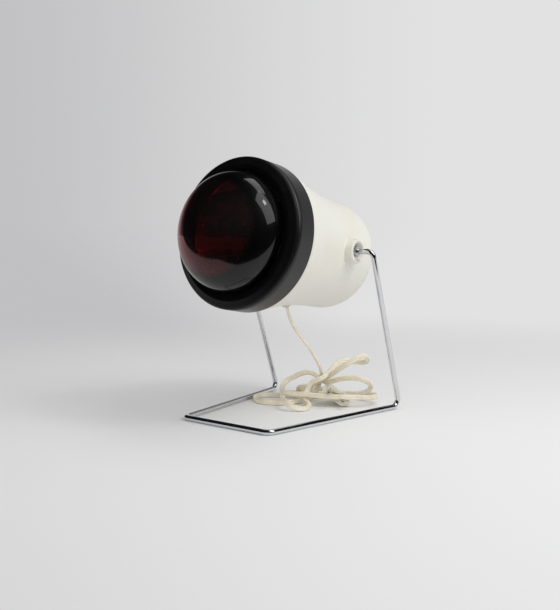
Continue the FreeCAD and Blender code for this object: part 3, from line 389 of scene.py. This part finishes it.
form.free()
flex_mesh.shade_smooth()
flex = bpy.data.objects.new("flat_flex", flex_mesh)
bpy.context.collection.objects.link(flex)
pvc = Finish("cream_pvc")
soiling = pvc.noise(0.011, detail=4)
tone = pvc.between(pvc.step(soiling, 0.35, 0.7), shade(249, 241, 221), shade(238, 228, 204))
grip = pvc.bump(pvc.noise(0.0012, detail=2), strength=0.15, distance=0.0002)
flex_mesh.materials.clear()
flex_mesh.materials.append(pvc.surface({"Base Color": tone, "Roughness": 0.42,
                                        "Normal": grip, "Subsurface Weight": 0.08,
                                        "Subsurface Radius": (0.004, 0.003, 0.002)}))
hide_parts("cord_drop", "cord_hank")
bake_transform(flex)


# ---- Plug: a flat two-pin plug moulded onto the flex in pale PVC, its back end drawn out
# round the flex, and dimples in its sides for the fingers. The pins are nickelled brass.
piece_weld = 2e-6


def dressed(node, name, body, coat, edge=32):
    """A CAD piece's own form with its triangles joined, so that its curves shade smoothly, and
    only edges that turn by more than so many degrees stay hard."""
    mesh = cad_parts[node].data.copy()
    form = bmesh.new()
    form.from_mesh(mesh)
    bmesh.ops.remove_doubles(form, verts=form.verts, dist=piece_weld)
    form.to_mesh(mesh)
    form.free()
    mesh.shade_smooth()
    mesh.set_sharp_from_angle(angle=math.radians(edge))
    mesh.materials.clear()
    mesh.materials.append(coat)
    piece = bpy.data.objects.new(name, mesh)
    bpy.context.collection.objects.link(piece)
    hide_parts(node)
    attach(piece, body)
    return piece


plug_pvc = Finish("plug_pvc")
grain = plug_pvc.node("TexVoronoi", sockets={"Vector": plug_pvc.place(), "Scale": 700.0})
grime = plug_pvc.step(plug_pvc.noise(0.006, detail=4), 0.45, 0.75)
plug_coat = plug_pvc.surface({
    "Base Color": plug_pvc.between(grime, shade(232, 227, 208), shade(205, 196, 170)),
    "Roughness": 0.5,
    "Normal": plug_pvc.bump(grain, strength=0.5, distance=0.0003)})
plug = dressed("plug_body", "moulded_plug", "stand", plug_coat)
pin_nickel = Finish("pin_nickel")
rubbed = pin_nickel.noise(0.002, detail=3, stretch=(1, 1, 6))
pin_coat = pin_nickel.surface({
    "Base Color": pin_nickel.between(rubbed, shade(196, 190, 176), shade(226, 222, 214)),
    "Metallic": 1.0,
    "Roughness": 0.14 + rubbed * 0.2})
pins = dressed("plug_pins", "plug_contact_pins", "stand", pin_coat, edge=40)


# ---- Stand: one length of 6 mm steel wire bent into a foot and two legs, whose ends turn
# in to carry the head. It is bright chrome plate, with faint draw marks under the plate.
chrome = Finish("chrome_plate")
haze = chrome.noise(0.02, detail=3)
marks = chrome.noise(0.0012, detail=2)
chrome_coat = chrome.surface({
    "Base Color": chrome.between(haze, shade(214, 216, 219), shade(228, 229, 231)),
    "Metallic": 1.0,
    "Roughness": 0.045 + haze * 0.05,
    "Normal": chrome.bump(marks, strength=0.012, distance=0.0002)})
dressed("stand_wire", "bent_wire_stand", "stand", chrome_coat, edge=50)


# ---- Pivot hardware: on each threaded wire end a washer and nut sit in the boss outside,
# and a washer, spring washer and nut inside the shell. They are bright zinc plate.
zinc = Finish("zinc_plate")
bloom = zinc.noise(0.0016, detail=4)
zinc_coat = zinc.surface({
    "Base Color": zinc.between(bloom, shade(188, 192, 196), shade(216, 218, 220)),
    "Metallic": 1.0,
    "Roughness": 0.16 + bloom * 0.2,
    "Normal": zinc.bump(bloom, strength=0.12, distance=0.0002)})
for node, name in (("pivot_outer_washers", "outer_washers"),
                   ("pivot_outer_nuts", "outer_nuts"),
                   ("pivot_inner_washers", "inner_washers"),
                   ("pivot_spring_washers", "spring_washers"),
                   ("pivot_inner_nuts", "inner_nuts")):
    dressed(node, name, "stand", zinc_coat, edge=30)


# ---- Pivot bushes: red-brown pressed fibre sleeves in the bosses, on which the head turns
# and which keep the metal ends of the stand apart from the shell.
fibre = Finish("pressed_fibre")
strands = fibre.noise(0.0009, detail=5, stretch=(1, 4, 1))
fibre_coat = fibre.surface({
    "Base Color": fibre.between(strands, shade(104, 58, 40), shade(140, 84, 58)),
    "Roughness": 0.72,
    "Normal": fibre.bump(strands, strength=0.3, distance=0.0002)})
dressed("pivot_bushes", "fibre_bushes", "head", fibre_coat, edge=30)


# ---- Housing: a waisted shell moulded in ivory urea plastic with two round bosses and slots
# in its rear. It has a soft gloss, a slight flow in the surface and a little yellowing.
ivory = Finish("ivory_plastic")
yellowing = ivory.step(ivory.noise(0.07, detail=3), 0.4, 0.75)
flow = ivory.noise(0.006, detail=2, stretch=(1, 0.35, 1))
speckle = ivory.step(ivory.noise(0.0011, detail=2), 0.71, 0.76)
clean = ivory.between(yellowing, shade(234, 233, 224), shade(232, 229, 216))
ivory_coat = ivory.surface({
    "Base Color": ivory.between(speckle * 0.25, clean, shade(176, 166, 140)),
    "Roughness": 0.34 + flow * 0.12,
    "Specular IOR Level": 0.45,
    "Normal": ivory.bump(flow, strength=0.06, distance=0.0008)})
dressed("housing_shell", "ivory_housing", "head", ivory_coat, edge=38)


# ---- Front ring: a deep black rim that presses over the shell's mouth, with a low sloping
# face that runs in to the bulb. It is phenolic plastic, its side shiny and its face matt.
head_lean = math.radians(9.5)
head_axis = (0, -math.cos(head_lean), math.sin(head_lean))
ring_side_end, ring_face_start = 0.1042, 0.1052  # how far along the head's axis
phenolic = Finish("black_phenolic")
matt = phenolic.noise(0.0008, detail=3)
rubs = phenolic.step(phenolic.noise(0.02, detail=5), 0.5, 0.8)
forward = phenolic.dot(phenolic.place(), head_axis)
on_side = 1 - phenolic.step(forward, ring_side_end, ring_face_start)
phenolic_coat = phenolic.surface({
    "Base Color": phenolic.between(rubs, shade(11, 11, 12), shade(18, 18, 19)),
    "Roughness": 0.42 + rubs * 0.1,
    "Specular IOR Level": 0.16,
    "Coat Weight": on_side * 0.75,
    "Coat Roughness": 0.32,
    "Normal": phenolic.bump(matt, strength=0.08, distance=0.0002)})
dressed("front_ring", "black_front_ring", "head", phenolic_coat, edge=40)


# ---- Heat shield: a thin spun aluminium cup between the bulb and the shell. It is left as
# spun, so it has fine rings round it and a dull shine.
aluminium = Finish("spun_aluminium")
rings = aluminium.noise(0.0009, detail=3, stretch=(1, 5, 1))
aluminium_coat = aluminium.surface({
    "Base Color": aluminium.between(rings, shade(176, 178, 180), shade(204, 205, 207)),
    "Metallic": 1.0,
    "Roughness": 0.3 + rings * 0.18,
    "Normal": aluminium.bump(rings, strength=0.2, distance=0.0002)})
dressed("heat_shield", "heat_shield_cup", "head", aluminium_coat, edge=35)


# ---- Bulb: a blown envelope of ruby glass, nearly black until it is lit, silvered inside
# from the shoulder back, in a nickelled screw cap with a black glass end and a contact.
pivot = (0, 0.045957, 0.18)
clear_radius, dense_radius = 0.044, 0.052  # where the front's clearer ruby darkens
reflection_band_foot = (0.179, 0.1825)  # a painted reflection: a matt white band in the silvering where it mirrors the pale floor; its foot, top and right end
reflection_band_top = (0.1935, 0.197)
reflection_band_end = (-0.032, -0.024)
ruby = Finish("ruby_glass")
streaks = ruby.noise(0.03, detail=2, stretch=(1, 1, 0.3))
from_pivot = ruby.node("VectorMath", {"operation": "SUBTRACT"}, {0: ruby.place(), 1: pivot})
reach = ruby.length(from_pivot)
along = ruby.dot(from_pivot, head_axis)
dense = ruby.step(reach * reach - along * along, clear_radius ** 2, dense_radius ** 2)
clear = ruby.between(streaks, shade(236, 10, 36), shade(254, 16, 48))
ruby_coat = ruby.surface({
    "Base Color": ruby.between(dense, clear, shade(34, 3, 9)),
    "Roughness": 0.012,
    "IOR": 1.4,
    "Transmission Weight": 1.0,
    "Coat Weight": 0.2,
    "Coat Roughness": 0.4})
dressed("bulb_glass", "ruby_bulb_glass", "head", ruby_coat, edge=50)
silvering = Finish("silvering")
clouding = silvering.step(silvering.noise(0.045, detail=2, stretch=(1, 1, 1.6)), 0.46, 0.54)
height = silvering.axis(silvering.place(), 2)
across = silvering.axis(silvering.place(), 0)
# Painted reflection: a matt white band, lit like paper, stands in for the pale floor mirrored in
# the silvering.
painted_reflection_band = (silvering.step(height, *reflection_band_foot) * (1 - silvering.step(height, *reflection_band_top))
        * (1 - silvering.step(across, *reflection_band_end)))
# The silvering's random clouding, together with the painted reflection band.
clouding_and_painted_reflection = clouding * 0.3 * (1 - painted_reflection_band) + painted_reflection_band
silver_coat = silvering.surface({
    "Base Color": silvering.between(clouding_and_painted_reflection, shade(150, 150, 152), shade(240, 238, 235)),
    "Metallic": 1 - clouding_and_painted_reflection,
    "Roughness": 0.1 + clouding * 0.25})
dressed("bulb_reflector", "bulb_silvering", "head", silver_coat, edge=50)
stem_glass = Finish("stem_glass")
seeds = stem_glass.noise(0.0015, detail=3)
stem_coat = stem_glass.surface({
    "Base Color": stem_glass.between(seeds, shade(214, 220, 216), shade(236, 240, 238)),
    "Roughness": 0.05,
    "IOR": 1.5,
    "Transmission Weight": 0.85,
    "Normal": stem_glass.bump(seeds, strength=0.1, distance=0.0002)})
dressed("bulb_stem", "glass_stem", "head", stem_coat, edge=40)
nickel = Finish("nickelled_brass")
tarnish = nickel.step(nickel.noise(0.004, detail=4), 0.4, 0.8)
nickel_coat = nickel.surface({
    "Base Color": nickel.between(tarnish, shade(206, 204, 198), shade(168, 160, 142)),
    "Metallic": 1.0,
    "Roughness": 0.18 + tarnish * 0.25})
for node, name in (("bulb_cap", "screw_cap"), ("bulb_centre_contact", "cap_contact"),
                   ("bulb_support_wires", "filament_supports")):
    dressed(node, name, "head", nickel_coat, edge=40)
wolfram = Finish("tungsten_wire")
turns = wolfram.noise(0.0006, detail=2)
wolfram_coat = wolfram.surface({
    "Base Color": wolfram.between(turns, shade(92, 92, 96), shade(132, 132, 138)),
    "Metallic": 1.0,
    "Roughness": 0.35 + turns * 0.2,
    "Normal": wolfram.bump(turns, strength=0.5, distance=0.0003)})
dressed("bulb_filament", "filament", "head", wolfram_coat, edge=50)
vitrite = Finish("black_cap_glass")
swirl = vitrite.noise(0.003, detail=3)
vitrite_coat = vitrite.surface({
    "Base Color": vitrite.between(swirl, shade(16, 16, 24), shade(34, 32, 46)),
    "Roughness": 0.08 + swirl * 0.06})
dressed("bulb_cap_insulator", "cap_insulator", "head", vitrite_coat, edge=35)


# ---- Lampholder: a glazed porcelain body on a zinc strap, with a brass screw shell, a sprung
# contact, and two terminals with cheese-head screws for the leads.
porcelain = Finish("glazed_porcelain")
crawl = porcelain.noise(0.008, detail=3)
porcelain_coat = porcelain.surface({
    "Base Color": porcelain.between(crawl, shade(236, 234, 228), shade(224, 220, 208)),
    "Roughness": 0.12 + crawl * 0.1,
    "Coat Weight": 0.6,
    "Normal": porcelain.bump(crawl, strength=0.15, distance=0.0006)})
dressed("holder_body", "porcelain_lampholder", "head", porcelain_coat, edge=35)
brass = Finish("bare_brass")
oxide = brass.step(brass.noise(0.003, detail=5), 0.35, 0.8)
brass_coat = brass.surface({
    "Base Color": brass.between(oxide, shade(206, 176, 110), shade(150, 118, 66)),
    "Metallic": 1.0,
    "Roughness": 0.22 + oxide * 0.25})
for node, name in (("holder_sleeve", "screw_shell"), ("holder_contact", "sprung_contact"),
                   ("holder_terminals", "terminals"),
                   ("holder_terminal_screws", "terminal_screws")):
    dressed(node, name, "head", brass_coat, edge=35)
for node, name in (("holder_strap", "holder_mounting_strap"),
                   ("holder_strap_screws", "strap_screws"),
                   ("holder_nipple", "threaded_nipple"), ("holder_nut", "nipple_nut"),
                   ("cord_stop_screw", "stop_screw")):
    dressed(node, name, "head", zinc_coat, edge=30)


# ---- Lead entry: an ivory gland pressed into the shell's underside, the flex's tail through
# it, a clamping stop inside, and the two cores that run on to the terminals.
gland = Finish("ivory_gland")
handled = gland.noise(0.003, detail=3)
gland_coat = gland.surface({
    "Base Color": gland.between(handled, shade(228, 224, 208), shade(212, 205, 184)),
    "Roughness": 0.4 + handled * 0.15,
    "Normal": gland.bump(handled, strength=0.1, distance=0.0003)})
for node, name in (("cord_gland", "lead_gland"), ("cord_stop", "lead_stop")):
    dressed(node, name, "head", gland_coat, edge=35)
dressed("cord_tail", "flex_tail", "head", pvc.owner, edge=40)
for node, name, colour, dark, slot in (
        ("lead_live", "live_core", shade(112, 68, 44), shade(88, 52, 34), "lead_brown"),
        ("lead_neutral", "neutral_core", shade(52, 96, 158), shade(38, 76, 130), "lead_blue")):
    sleeve = Finish(name)
    scuffs = sleeve.noise(0.004, detail=4)
    sleeve_coat = sleeve.surface({
        "Base Color": sleeve.between(scuffs, colour, dark),
        "Roughness": 0.36 + scuffs * 0.15})
    dressed(node, name + "_sleeve", "head", sleeve_coat, edge=50)
